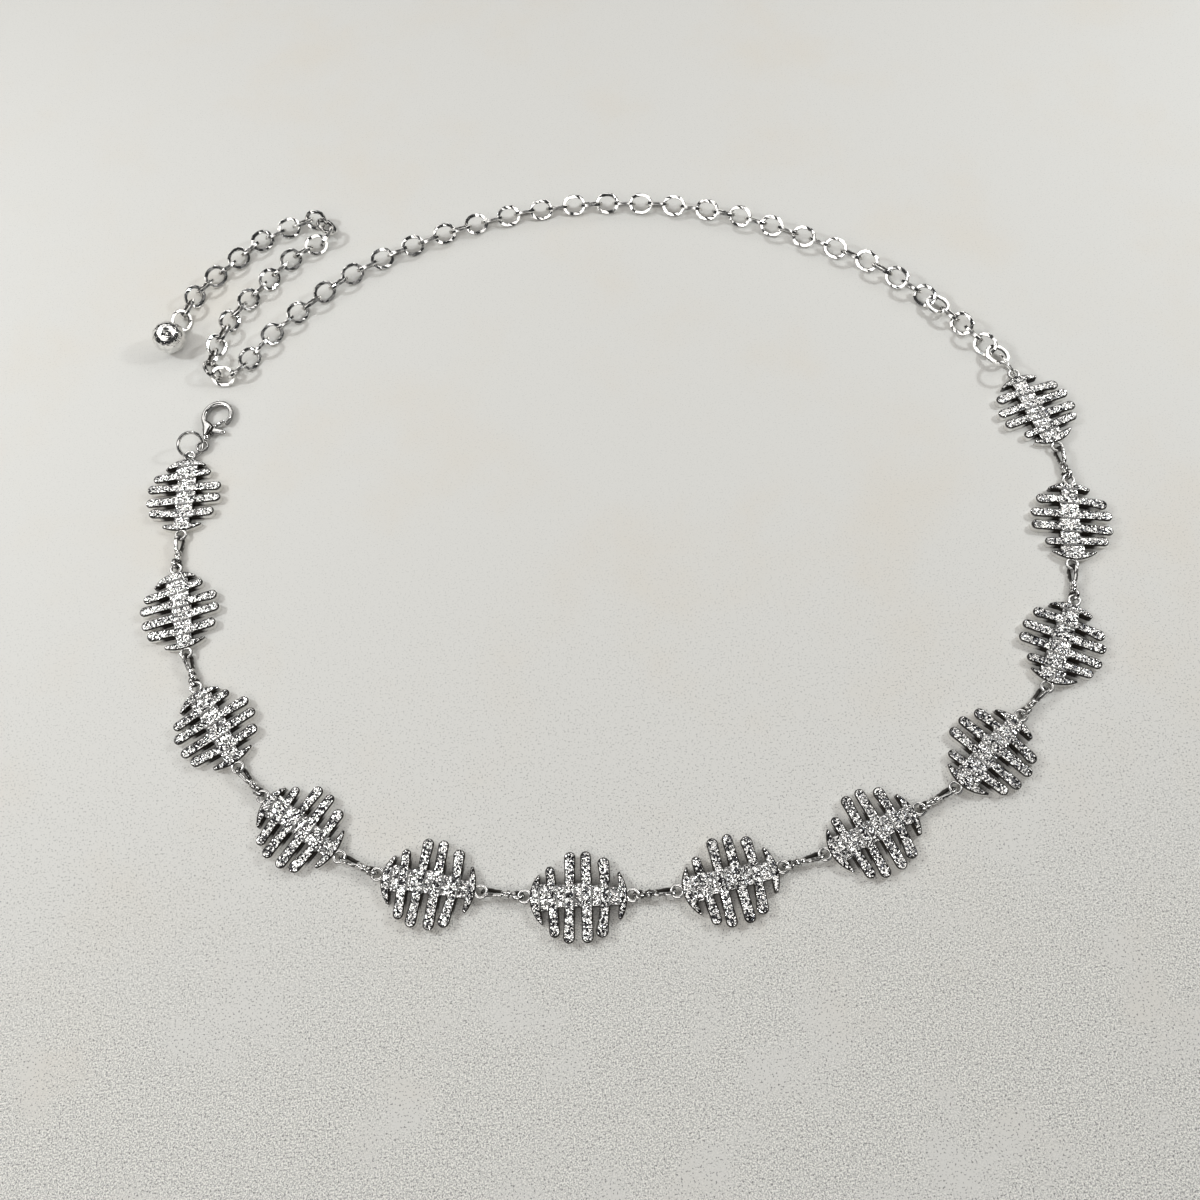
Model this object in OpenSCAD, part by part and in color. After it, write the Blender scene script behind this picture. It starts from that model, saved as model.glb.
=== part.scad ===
// Waist chain lying on a flat surface: cast medallions joined by short connectors,
// a lobster clasp at one end and a plain cable chain with a ball at the other.
// +Z is up and z = 0 is the surface. The origin is the middle of the loop.
// The medallions run counterclockwise from the clasp, seen from above.

/* [Medallion] */
// Length of a medallion along the belt, without its rings
medallion_len = 30; // [26:0.5:38]
// Width of a medallion across the belt
medallion_wide = 28; // [24:0.5:36]
// Height of a medallion
medallion_thick = 3; // [2.6:0.1:5]
// Width of a medallion's bars
bar_w = 3.4; // [2.8:0.1:3.8]
// Drop of the webs below the crowns of the bars
web_drop = 0.5; // [0.2:0.05:1]
// Step round the crown of a bar
crown_step = 0.4; // [0.2:0.05:0.6]
// Wire of a medallion's two cast rings
ring_wire = 0.9; // [0.7:0.05:1.1]
// Inner diameter of a medallion's two cast rings
ring_bore = 2.8; // [2.6:0.1:3.6]
// Depth that a cast ring sinks into the bar beside it
ring_root = 0.3; // [0.1:0.05:0.6]
// Offset of the ring on the clasp's side towards the inside of the loop
near_ring_shift = 1.4; // [0:0.1:3]

/* [Connector] */
// Span of a connector from ring centre to ring centre
connector_span = 14.1; // [13.5:0.1:20]
// Wire of a connector
connector_wire = 1; // [0.8:0.05:1.15]
// Radius of the long eye's wide end at the middle of its wire
long_eye_r = 1.6; // [1.5:0.05:2]
// Length of the long eye between its wire's middles
long_eye_len = 6.6; // [5:0.1:7]
// Radius of the round eye at the middle of its wire
round_eye_r = 1.5; // [1.45:0.05:1.9]
// Radius of the long eye's narrow end at the middle of its wire
narrow_eye_r = 0.8; // [0.7:0.05:1.2]
// Diameter of the neck between the two eyes
neck_d = 1.6; // [1.2:0.1:1.6]
// Diameter of the collar round the neck
collar_d = 2.4; // [1.7:0.1:2.4]
// Lean of a connector away from upright, in degrees
connector_lean = 35; // [15:1:38]

/* [Jump rings] */
// Inner diameter of the two jump rings
jump_bore = 8.4; // [7.5:0.1:12]
// Wire of the two jump rings
jump_wire = 1; // [0.8:0.05:1.1]
// Lean of the clasp's jump ring away from upright, in degrees
clasp_jump_lean = 30; // [0:1:34]
// Lean of the chain's jump ring away from upright, in degrees
chain_jump_lean = 30; // [0:1:34]

/* [Cable chain] */
// Length that each link adds to the chain
link_pitch = 7; // [6.2:0.1:9]
// Length that each link loses where the chain lies slack
link_slack = 0.7; // [0:0.1:1]
// Outer width of a link
link_wide = 7.7; // [6.5:0.1:9]
// Wire of a link
link_wire = 0.85; // [0.7:0.05:1]
// Slack between two linked wires
link_play = 0.22; // [0.2:0.01:0.4]
// Lean of a link away from upright, in degrees
link_lean = 45; // [40:1:50]
// Change of that lean from link to link, in degrees
lean_change = 5; // [0:1:6]
// Share of the chain's length that comes before its first turn
main_share = 0.66; // [0.5:0.01:0.8]

/* [End ball] */
// Diameter of the ball
ball_d = 12.6; // [9:0.1:16]
// Wire of the ball's eye
ball_eye_wire = 0.9; // [0.7:0.05:1.1]
// Radius of the ball's eye at the middle of its wire
ball_eye_r = 1.4; // [1.3:0.05:2]

/* [Clasp] */
// Length of the clasp from its eye's middle to the top of its hook
clasp_len = 21; // [19:0.5:26]
// Outer width of the clasp's hook
clasp_wide = 12.6; // [11.5:0.1:15]
// Height of the clasp
clasp_thick = 3.2; // [2.8:0.1:4]
// Height of the hook
hook_thick = 2.4; // [1.8:0.1:2.8]
// Wire of the clasp's eye
clasp_eye_wire = 1.1; // [0.9:0.05:1.2]
// Radius of the clasp's eye at the middle of its wire
clasp_eye_r = 2; // [1.9:0.05:2.6]
// Radius of the two cheeks that hold the lever
cheek_r = 2.4; // [2.2:0.1:3]
// Thickness of the lever
lever_thick = 1.2; // [0.9:0.1:1.4]
// Diameter of the lever's pin
pin_d = 1.2; // [0.9:0.1:1.4]
// Slack between the lever and its pin and cheeks
lever_play = 0.05; // [0.03:0.01:0.1]

/* [Hidden] */
$fn = 48;
// Clearance between pieces that hang in one another
play = 0.2;
arc_steps = 5;
side_steps = 6;
// Overlap of pieces that are cast as one
web_lap = 0.3;
rod_lap = 0.05;
rod_ledge = 0.02;

// Bars of a medallion from the clasp's side on, one row each: the inner tip along
// and across, the outer tip along and across, the bow, then the widths at the inner
// end, the middle and the outer end. Along is in shares of half the medallion's
// length, across in shares of half its width, bow and widths in shares of bar_w.
BARS = [
    [-0.83, 0.55, -0.79, -0.53, -0.50, 0.22, 0.90, 0.22],
    [-0.59, 0.72, -0.51, -0.83, 0.00, 0.85, 0.90, 0.97],
    [-0.15, 1.02, -0.23, -0.97, 0.00, 1.05, 0.90, 1.05],
    [0.18, 1.02, 0.16, -0.98, 0.00, 0.97, 1.00, 1.05],
    [0.56, 0.86, 0.46, -0.88, 0.20, 1.10, 0.85, 1.12],
    [0.87, 0.52, 0.86, -0.50, 0.30, 0.25, 0.78, 0.40]
];
// Webs between neighbouring bars, one row each: inner and outer edge across,
// in shares of half the medallion's width
WEBS = [
    [0.38, -0.28],
    [0.35, -0.22],
    [0.36, -0.23],
    [0.30, -0.23],
    [0.24, -0.23]
];
// Centre of the first medallion's free ring
belt_start = [-158.5, 41];
// Heading of each medallion, in degrees
medallion_heading = [-91, -79, -61, -40, -14, -4, 8, 20, 40, 61, 78, 104];
// Heading of each connector, in degrees
connector_heading = [-94, -73, -52, -30, -13, -2, 9, 22, 38, 76, 90];
// 1 where a connector's long eye comes first, -1 where it comes last
connector_way = [1, 1, 1, 1, 1, -1, -1, -1, -1, -1, -1];
// Heading of the clasp's jump ring, of the clasp and of the chain's jump ring
clasp_jump_heading = 42;
clasp_heading = 67;
chain_jump_heading = 108;
// Route of the cable chain, from where it leaves its jump ring
CHAIN_ROUTE = [
    [0, 0], [-8, 14], [-14, 24], [-26, 40], [-40, 55], [-56, 67], [-74, 79], [-92, 89],
    [-118, 98], [-147, 103], [-174, 103], [-201, 99], [-228, 91], [-248, 82],
    [-264, 71], [-281, 57], [-290, 46], [-298, 38], [-305, 40], [-306, 48],
    [-302, 59], [-297, 69], [-287, 80], [-278, 90], [-268, 98], [-260, 101],
    [-258, 108], [-264, 114], [-274, 111], [-286, 106], [-298, 96], [-309, 86],
    [-316, 77], [-321, 62]
];

ring_r = (ring_bore + ring_wire) / 2;
connector_z = max(long_eye_r, round_eye_r) * cos(connector_lean) + connector_wire / 2;
ring_z = max(connector_z, connector_wire + ring_wire / 2 + play);
ring_reach = medallion_len / 2 + ring_r + ring_wire / 2 - ring_root;
near_ring = [-ring_reach, near_ring_shift];
far_ring = [ring_reach, 0];

// Hook of one wire end inside a ring, counted from the ring's centre
eye_start = ring_r - ring_wire / 2 - connector_wire / 2 - play;

jump_r = (jump_bore + jump_wire) / 2;
link_r = (link_wide - link_wire) / 2;
link_straight = link_pitch + link_wire + link_play - 2 * link_r;
ball_eye_out = ball_d / 2 + ball_eye_r - ball_eye_wire / 4;

clasp_z = clasp_thick / 2;
pivot = [clasp_len * 0.37, clasp_len * 0.04];
// Where the hook's middle line starts, along the clasp from the pivot, and its first and last angle
hook_foot = 1.78;
hook_start = 146;
hook_end = -113;
hook_reach = (clasp_len - hook_half(0.5) - pivot[0] - hook_foot) / (1 - cos(hook_start));
hook_mid = [clasp_len - hook_half(0.5) - hook_reach, 0];
slot_thick = lever_thick + 2 * lever_play;
neck_half = 1.1;

function turned(p, a) = [p[0] * cos(a) - p[1] * sin(a), p[0] * sin(a) + p[1] * cos(a)];
function mix(a, b, t) = a * (1 - t) + b * t;
function unit(v) = v / norm(v);
function left_of(v) = [-v[1], v[0]];

// Centres of a medallion's two rings and its own middle, counted from 0
function near_ring_at(i) = i == 0
    ? belt_start
    : far_ring_at(i - 1) + turned([connector_span, 0], connector_heading[i - 1]);
function medallion_at(i) = near_ring_at(i) - turned(near_ring, medallion_heading[i]);
function far_ring_at(i) = medallion_at(i) + turned(far_ring, medallion_heading[i]);

// Value at share t of a curve through a at 0, b at one half and c at 1
function bend(a, b, c, t) = a * (1 - t) * (1 - 2 * t) + 4 * b * t * (1 - t) + c * t * (2 * t - 1);

// Outline of a band that follows the points mid with the half widths half, round at both ends
function band_turn(mid, i) =
    left_of(unit(mid[min(i + 1, len(mid) - 1)] - mid[max(i - 1, 0)]));
function band_cap(c, across, r) =
    [for (j = [1:arc_steps - 1]) c + turned(across * r, -180 * j / arc_steps)];
function band(mid, half) = concat(
    [for (i = [0:len(mid) - 1]) mid[i] + band_turn(mid, i) * half[i]],
    band_cap(mid[len(mid) - 1], band_turn(mid, len(mid) - 1), half[len(mid) - 1]),
    [for (i = [len(mid) - 1:-1:0]) mid[i] - band_turn(mid, i) * half[i]],
    band_cap(mid[0], -band_turn(mid, 0), half[0])
);

// Middle line of a bar from its inner tip, t = 0, to its outer tip, t = 1
function bar_tip(row, end) = [
    row[2 * end] * medallion_len / 2,
    row[2 * end + 1] * medallion_wide / 2
];
function bar_half(row, t) = bend(row[5], row[6], row[7], t) * bar_w / 2;
function bar_point(row, t) =
    let (along = unit(bar_tip(row, 1) - bar_tip(row, 0)))
    mix(bar_tip(row, 0) + along * bar_half(row, 0), bar_tip(row, 1) - along * bar_half(row, 1), t)
    + [4 * row[4] * bar_w * t * (1 - t), 0];
function bar_outline(row, inset) = band(
    [for (i = [0:side_steps]) bar_point(row, i / side_steps)],
    [for (i = [0:side_steps]) max(bar_half(row, i / side_steps) - inset, 0.1)]
);
// Point on a bar's middle line at the given place across the medallion
function bar_across(row, y) =
    let (a = bar_point(row, 0), b = bar_point(row, 1))
    bar_point(row, (a[1] - y) / (a[1] - b[1]));

// Chain's route: a smooth curve through the points, and its running length
route_steps = 8;
function route_point(i) = CHAIN_ROUTE[max(0, min(i, len(CHAIN_ROUTE) - 1))];
function curve(p0, p1, p2, p3, t) = 0.5 * (
    2 * p1 + (p2 - p0) * t + (2 * p0 - 5 * p1 + 4 * p2 - p3) * t * t
    + (3 * p1 - p0 - 3 * p2 + p3) * t * t * t
);
ROUTE = [
    for (i = [0:len(CHAIN_ROUTE) - 2], j = [0:route_steps - 1])
        curve(route_point(i - 1), route_point(i), route_point(i + 1), route_point(i + 2), j / route_steps),
    route_point(len(CHAIN_ROUTE) - 1)
];
function running(i, total) = i == len(ROUTE)
    ? []
    : let (now = total + (i == 0 ? 0 : norm(ROUTE[i] - ROUTE[i - 1]))) concat([now], running(i + 1, now));
RUN = running(0, 0);
ROUTE_X = [for (i = [0:len(ROUTE) - 1]) [RUN[i], ROUTE[i][0]]];
ROUTE_Y = [for (i = [0:len(ROUTE) - 1]) [RUN[i], ROUTE[i][1]]];
// Links that lie almost flat, held up by their neighbours
flat_roll = 92;
flat_link = 5;
// Change of a link's lean for each degree that the chain turns at it
turn_lean = 0.2;
// Number of slack links at the chain's start; the tail is slack throughout
slack_links = 7;
chain_run = RUN[len(RUN) - 1];
main_count = round((chain_run * main_share + slack_links * link_slack) / link_pitch);
function along(i) = i * link_pitch - link_slack * (min(i, slack_links) + max(0, i - main_count));
link_count = main_count + floor((chain_run - along(main_count)) / (link_pitch - link_slack));

// Jump ring: height up its plane, half chord and side shift where it passes height z
function jump_rise(z, lean) = (z - jump_wire / 2) / cos(lean);
function jump_chord(z, lean) = sqrt(2 * jump_r * jump_rise(z, lean) - pow(jump_rise(z, lean), 2));
function jump_side(z, lean) = jump_rise(z, lean) * sin(lean);
// Shift of a jump ring's wire from the centre of the ring that it passes through
jump_shift = -0.3;

// Lowest point of each jump ring, from the medallion ring that holds it
chain_jump_base = far_ring_at(len(medallion_heading) - 1) + turned(
    [jump_shift + jump_chord(ring_z, chain_jump_lean), -jump_side(ring_z, chain_jump_lean)],
    chain_jump_heading
);
clasp_jump_base = belt_start + turned(
    [jump_shift + jump_chord(ring_z, clasp_jump_lean), -jump_side(ring_z, clasp_jump_lean)],
    clasp_jump_heading
);
link_z = link_r * cos(link_lean) + link_wire / 2;
chain_start = chain_jump_base + turned(
    [
        jump_chord(link_z, chain_jump_lean) - jump_wire / 2 - play,
        jump_side(link_z, chain_jump_lean)
    ],
    chain_jump_heading
);
clasp_at = clasp_jump_base + turned(
    [jump_chord(clasp_z, clasp_jump_lean), jump_side(clasp_z, clasp_jump_lean)],
    clasp_jump_heading
) + turned([jump_shift, 0], clasp_jump_heading);

function joint_at(i) = chain_start + [lookup(along(i), ROUTE_X), lookup(along(i), ROUTE_Y)];
function link_heading(i) =
    let (d = joint_at(i + 1) - joint_at(i)) atan2(d[1], d[0]);
function link_turn(i) =
    let (a = joint_at(i) - joint_at(i - 1), b = joint_at(i + 2) - joint_at(i + 1))
    i == 0 || i == link_count - 1 ? 0 : atan2(a[0] * b[1] - a[1] * b[0], a * b) / 2;
function link_roll(i) = i == 0 || i == flat_link
    ? flat_roll
    : (i % 2 == (i < flat_link ? 1 : 0) ? 1 : -1) * (link_lean + lean_change * sin(137 * i))
        - turn_lean * link_turn(i);
function link_height(i) = max(link_r * cos(link_roll(i)) + link_wire / 2, link_z);

ball_drop = ball_d / 2 - link_z;
ball_slope = asin(ball_drop / ball_eye_out);
// Distance of the eye's middle from the end of the last link's share of the chain
ball_eye_shift = ball_eye_r - ball_eye_wire / 2 + (link_play + link_slack) / 2 - play;
ball_heading = link_heading(link_count - 1);

// Ring of round wire in the XY plane
module wire_ring(r, wire) {
    rotate_extrude()
        translate([r, 0])
            circle(d = wire, $fn = 24);
}

// Arc of round wire in the XY plane that starts at the given angle
module wire_arc(r, wire, start, sweep) {
    rotate([0, 0, start])
        rotate_extrude(angle = sweep)
            translate([r, 0])
                circle(d = wire, $fn = 24);
}

// Straight round wire between two points of the XY plane
module wire_rod(a, b, wire) {
    translate([a[0], a[1], 0])
        rotate([0, 0, atan2(b[1] - a[1], b[0] - a[0])])
            rotate([0, 90, 0])
                cylinder(d = wire, h = norm(b - a), $fn = 24);
}

// Web that fills the gap between two neighbouring bars. The webs reach past the
// bars' middle lines and stop short of them in turn, so that no two end alike.
module web(i) {
    inner = WEBS[i][0] * medallion_wide / 2;
    outer = WEBS[i][1] * medallion_wide / 2;
    lap = [i % 2 == 0 ? web_lap : -web_lap / 2, 0];
    linear_extrude(medallion_thick - web_drop)
        polygon([
            bar_across(BARS[i], inner) - lap,
            bar_across(BARS[i + 1], inner) + lap,
            bar_across(BARS[i + 1], outer) + lap,
            bar_across(BARS[i], outer) - lap
        ]);
}

// Bar with a stepped crown
module bar(row) {
    linear_extrude(medallion_thick - crown_step)
        polygon(bar_outline(row, 0));
    linear_extrude(medallion_thick)
        polygon(bar_outline(row, min(crown_step, row[6] * bar_w / 4)));
}

// Cast medallion: six bars, the webs between them and a ring at each end
module medallion(i) {
    color("silver")
        translate([medallion_at(i)[0], medallion_at(i)[1], 0])
            rotate([0, 0, medallion_heading[i]]) {
                for (row = BARS)
                    bar(row);
                for (j = [0:len(WEBS) - 1])
                    web(j);
                for (place = [near_ring, far_ring])
                    translate([place[0], place[1], ring_z])
                        wire_ring(ring_r, ring_wire);
            }
}

// Straight side of a connector's long eye, which runs a little into both of its arcs
module eye_side(a, b) {
    lap = unit(b - a) * rod_lap;
    wire_rod(a - lap, b + lap, connector_wire - 2 * rod_ledge);
}

// Connector in its own plane, from one ring centre at x = 0 to the other:
// a long eye that narrows towards the neck, a collar and a round eye
module connector_shape() {
    wide_x = eye_start + long_eye_r;
    narrow_x = eye_start + long_eye_len - narrow_eye_r;
    side = acos((long_eye_r - narrow_eye_r) / (narrow_x - wide_x));
    round_x = connector_span - eye_start - round_eye_r;
    neck_start = narrow_x + narrow_eye_r;
    neck_end = round_x - round_eye_r;
    translate([wide_x, 0, 0])
        wire_arc(long_eye_r, connector_wire, side, 360 - 2 * side);
    translate([narrow_x, 0, 0])
        wire_arc(narrow_eye_r, connector_wire, -side, 2 * side);
    for (way = [-1, 1])
        eye_side(
            [wide_x, 0] + turned([long_eye_r, 0], way * side),
            [narrow_x, 0] + turned([narrow_eye_r, 0], way * side)
        );
    wire_rod([neck_start, 0], [neck_end, 0], neck_d);
    wire_rod([mix(neck_start, neck_end, 0.35), 0], [mix(neck_start, neck_end, 0.65), 0], collar_d);
    translate([round_x, 0, 0])
        wire_ring(round_eye_r, connector_wire);
}

// Connector in place, leaning to the outside of the loop
module connector(i) {
    start = connector_way[i] > 0 ? far_ring_at(i) : near_ring_at(i + 1);
    heading = connector_heading[i] + (connector_way[i] > 0 ? 0 : 180);
    color("silver")
        translate([start[0], start[1], connector_z])
            rotate([0, 0, heading])
                rotate([90 + connector_way[i] * connector_lean, 0, 0])
                    connector_shape();
}

// Jump ring that stands on its lowest point and leans to the left of its heading
module jump_ring(base, heading, lean) {
    color("silver")
        translate([base[0], base[1], jump_wire / 2])
            rotate([0, 0, heading])
                rotate([90 + lean, 0, 0])
                    translate([0, jump_r, 0])
                        wire_ring(jump_r, jump_wire);
}

module clasp_jump_ring() {
    jump_ring(clasp_jump_base, clasp_jump_heading, -clasp_jump_lean);
}

module chain_jump_ring() {
    jump_ring(chain_jump_base, chain_jump_heading, -chain_jump_lean);
}

// Oval link of the cable chain in its own plane
module link_shape() {
    for (way = [-1, 1]) {
        translate([way * link_straight / 2, 0, 0])
            wire_arc(link_r, link_wire, way > 0 ? -90 : 90, 180);
        wire_rod([-link_straight / 2, way * link_r], [link_straight / 2, way * link_r], link_wire);
    }
}

// Links of the cable chain from the first to before the last
module links(first, last) {
    for (i = [first:last - 1]) {
        middle = (joint_at(i) + joint_at(i + 1)) / 2;
        translate([middle[0], middle[1], link_height(i)])
            rotate([0, 0, link_heading(i)])
                rotate([90 + link_roll(i), 0, 0])
                    link_shape();
    }
}

module main_chain() {
    color("silver")
        links(0, main_count);
}

module tail_chain() {
    color("silver")
        links(main_count, link_count);
}

// Ball with a cast eye that holds the chain's last link
module end_ball() {
    place = joint_at(link_count)
        + turned([ball_eye_shift + ball_eye_out * cos(ball_slope), 0], ball_heading);
    color("silver")
        translate([place[0], place[1], ball_d / 2])
            rotate([0, 0, ball_heading + 180]) {
                sphere(d = ball_d, $fn = 96);
                rotate([0, ball_slope, 0])
                    translate([ball_eye_out, 0, 0])
                        rotate([-link_roll(link_count - 1), 0, 0])
                            wire_ring(ball_eye_r, ball_eye_wire);
            }
}

// Middle line and half widths of the clasp's hook, from its foot to its tip
hook_steps = 16;
function hook_angle(t) = mix(hook_start, hook_end, t);
function hook_half(t) = bend(2.2, 1.9, 1.3, t) / 2 + 0.5 * pow(sin(180 * t), 4) * t;
function hook_point(t) = hook_mid + [
    hook_reach * cos(hook_angle(t)),
    (clasp_wide / 2 - hook_half(0.3)) * sin(hook_angle(t))
];

// Lever's two arms, from the pivot: the gate to the hook's tip and the thumb nub
gate_end = hook_point(1) + [0.3, hook_half(1) + 0.8] - pivot;
nub_end = [0.2, -clasp_wide / 2 + 0.65 - pivot[1]];

module clasp_frame() {
    translate([clasp_at[0], clasp_at[1], clasp_z])
        rotate([0, 0, clasp_heading])
            children();
}

// Clasp: eye, neck, two cheeks with the lever's pin, and the hook
module clasp_body() {
    color("silver")
        clasp_frame() {
            wire_ring(clasp_eye_r, clasp_eye_wire);
            difference() {
                union() {
                    translate([0, 0, -hook_thick / 2])
                        linear_extrude(hook_thick)
                            polygon(band(
                                [[clasp_eye_r + clasp_eye_wire / 4 + neck_half, 0], pivot * 0.65, pivot],
                                [neck_half, 1.3, cheek_r - 0.3]
                            ));
                    translate([0, 0, -hook_thick / 2])
                        linear_extrude(hook_thick)
                            polygon(band(
                                [for (i = [0:hook_steps]) hook_point(i / hook_steps)],
                                [for (i = [0:hook_steps]) hook_half(i / hook_steps)]
                            ));
                    translate([pivot[0], pivot[1], -clasp_thick / 2])
                        cylinder(r = cheek_r, h = clasp_thick);
                }
                translate([pivot[0], pivot[1], -slot_thick / 2]) {
                    cylinder(d = pin_d + 2.2, h = slot_thick);
                    linear_extrude(slot_thick)
                        polygon([
                            [0, 0],
                            turned([3 * cheek_r, 0], -125),
                            turned([3 * cheek_r, 0], -60),
                            turned([2 * cheek_r, 0], -10),
                            turned([cheek_r, 0], 10)
                        ]);
                }
            }
            translate([pivot[0], pivot[1], -clasp_thick / 2])
                cylinder(d = pin_d, h = clasp_thick);
        }
}

// Lever: hub, gate arm and thumb nub on the clasp's pin
module clasp_lever() {
    color("silver")
        clasp_frame()
            translate([pivot[0], pivot[1], -lever_thick / 2])
                difference() {
                    union() {
                        cylinder(d = pin_d + 2, h = lever_thick);
                        linear_extrude(lever_thick)
                            polygon(band([gate_end * 0.1, gate_end * 0.6, gate_end], [0.8, 0.65, 0.5]));
                        linear_extrude(lever_thick)
                            polygon(band([nub_end * 0.1, nub_end * 0.6, nub_end], [0.8, 0.65, 0.55]));
                    }
                    translate([0, 0, -lever_play])
                        cylinder(d = pin_d + 2 * lever_play, h = slot_thick);
                }
}

medallion(0);  // medallion_01
medallion(1);  // medallion_02
medallion(2);  // medallion_03
medallion(3);  // medallion_04
medallion(4);  // medallion_05
medallion(5);  // medallion_06
medallion(6);  // medallion_07
medallion(7);  // medallion_08
medallion(8);  // medallion_09
medallion(9);  // medallion_10
medallion(10);  // medallion_11
medallion(11);  // medallion_12
connector(0);  // connector_01
connector(1);  // connector_02
connector(2);  // connector_03
connector(3);  // connector_04
connector(4);  // connector_05
connector(5);  // connector_06
connector(6);  // connector_07
connector(7);  // connector_08
connector(8);  // connector_09
connector(9);  // connector_10
connector(10);  // connector_11
clasp_jump_ring();
chain_jump_ring();
clasp_body();
clasp_lever();
main_chain();
tail_chain();
end_ball();
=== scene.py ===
"""Dresses a cast waist chain in silver and lays it on a pale floor.

Lengths in the shape functions are millimetres, and mesh_piece turns them into metres.
The belt's places follow the same walk as the frame: each medallion and each connector
has a heading, and every piece starts where the last one ends.
"""

import math

import bmesh
import bpy
import numpy as np
from bpy.props import FloatProperty, FloatVectorProperty, IntProperty, PointerProperty
from mathutils import Matrix, Vector


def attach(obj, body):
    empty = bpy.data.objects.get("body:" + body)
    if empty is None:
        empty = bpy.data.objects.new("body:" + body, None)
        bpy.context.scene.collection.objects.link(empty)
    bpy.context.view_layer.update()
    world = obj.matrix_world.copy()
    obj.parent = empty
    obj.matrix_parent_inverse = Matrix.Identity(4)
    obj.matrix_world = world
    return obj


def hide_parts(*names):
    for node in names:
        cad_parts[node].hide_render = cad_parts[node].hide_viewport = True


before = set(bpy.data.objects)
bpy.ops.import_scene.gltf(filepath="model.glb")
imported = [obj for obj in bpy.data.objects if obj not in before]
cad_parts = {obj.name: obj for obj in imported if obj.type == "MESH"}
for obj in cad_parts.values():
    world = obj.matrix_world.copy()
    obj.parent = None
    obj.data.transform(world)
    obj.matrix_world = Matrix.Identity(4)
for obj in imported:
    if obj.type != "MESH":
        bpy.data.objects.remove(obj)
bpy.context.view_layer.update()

bl_info = {
    "name": "Waist chain",
    "version": (1, 0, 0),
    "blender": (4, 5, 0),
    "location": "3D View > Sidebar > Waist chain",
    "description": "Builds the dressed pieces of a cast waist chain",
    "category": "Object",
}

MM = 0.001
BELT = "belt"
LEVER = "lever"

# Medallion, in its own plane: x along the belt, y towards the inside of the loop. A value
# named SPARE, here and below, is how much wider a piece is on each side than its solid
MEDALLION_LEN = 30.0
MEDALLION_WIDE = 28.0
MEDALLION_THICK = 3.0
BAR_W = 3.4
RING_WIRE = 0.9
RING_SPARE = 0.08
RING_R = 1.85
RING_REACH = 17.0
RING_Z = 1.81064
NEAR_SHIFT = 1.4
# Each bar: inner tip, outer tip, bow and three widths, in shares as in the frame
BARS = np.array([
    [-0.83, 0.55, -0.79, -0.53, -0.50, 0.22, 0.90, 0.22],
    [-0.59, 0.72, -0.51, -0.83, 0.00, 0.85, 0.90, 0.97],
    [-0.15, 1.02, -0.23, -0.97, 0.00, 1.05, 0.90, 1.05],
    [0.18, 1.02, 0.16, -0.98, 0.00, 0.97, 1.00, 1.05],
    [0.56, 0.86, 0.46, -0.88, 0.20, 1.10, 0.85, 1.12],
    [0.87, 0.52, 0.86, -0.50, 0.30, 0.25, 0.78, 0.40],
])
# Each web's inner and outer edge, in shares of half the medallion's width
WEBS = np.array([[0.38, -0.28], [0.35, -0.22], [0.36, -0.23], [0.30, -0.23], [0.24, -0.23]])

# Side on which a bar has no web, towards -x or +x
OPEN_SIDES = (-1, 0, 0, 0, 0, 1)

# Bars: steps along them, least half width, spare half width, height of the walls, how far
# the walls flare, the bevel at the rim, and how much painted dark reflection the rim has
BAR_STEPS = 121
LEAST_HALF = 0.12
BAR_SPARE = 0.05
BAR_WALL = 2.5
BAR_FLARE = 0.08
BAR_BEVEL = 0.28
RIM_PAINTED_DARK = 0.9

# Rows of a bar: their heights up its wall in shares, how much of the flare each has, the
# number of the row at the wall's top, the rows of its crown and the steps of a round end
WALL_SHARES = (0, 0, 0.12, 0.74, 1)
FLARE_SHARES = (1, 1, 0.5, 0)
RIM_ROW = 4
CROWN_ROWS = 6
CAP_STEPS = 7
# Half width from which a bar has its full height, and how steep its bevel is
FULL_HALF = 1.4
BEVEL_RISE = 0.85

# Webs: height, how far the edges curve in, rim, rounding and sag, and share of the grain
WEB_TOP = 2.35
WEB_ARCH = 0.45
WEB_RIM = 0.35
WEB_ROUND = 0.12
WEB_SAG = 0.12
WEB_GRAIN = 0.85
# Middle and half reach of the webs across the medallion, and how far from the middle
# the bars' walls carry painted shade with some tarnish
WEB_MIDDLE = 0.6
WEB_REACH = 3.2
RECESS_REACH = 6.0

# Slanting ridges across the bars, and the painted shade in their valleys
RIDGE_PITCH = 0.95
RIDGE_DEPTH = 0.16
RIDGE_SLANT = 0.4
VALLEY_SHARE = 0.35
VALLEY_SHADE = 0.6

# Angles at which an open wire's round ends have their rows
END_LIFTS = (90, 75, 55, 30)

# Walk of the belt
BELT_START = np.array([-158.5, 41.0])
MEDALLION_HEADING = [-91, -79, -61, -40, -14, -4, 8, 20, 40, 61, 78, 104]
CONNECTOR_HEADING = [-94, -73, -52, -30, -13, -2, 9, 22, 38, 76, 90]
CONNECTOR_WAY = [1, 1, 1, 1, 1, -1, -1, -1, -1, -1, -1]

# Connector: from ring to ring, its wire, its two eyes, its neck and how far it leans
SPAN = 14.1
CONNECTOR_WIRE = 1.0
LONG_EYE_SPARE = 0.18
ROUND_EYE_SPARE = 0.28
LONG_EYE_R = 1.6
NARROW_EYE_R = 1.0
LONG_EYE_LEN = 6.6
ROUND_EYE_R = 1.5
EYE_START = 0.7
NECK_D = 2.1
COLLAR_D = 2.8
CONNECTOR_LEAN = 35.0

# Jump rings: how they lean, how far they are shifted along their headings
JUMP_R = 4.7
JUMP_WIRE = 1.0
JUMP_SPARE = 0.13
JUMP_LEAN = 30.0
JUMP_SHIFT = -0.3
CLASP_JUMP_HEADING = 42.0
CHAIN_JUMP_HEADING = 108.0

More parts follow.
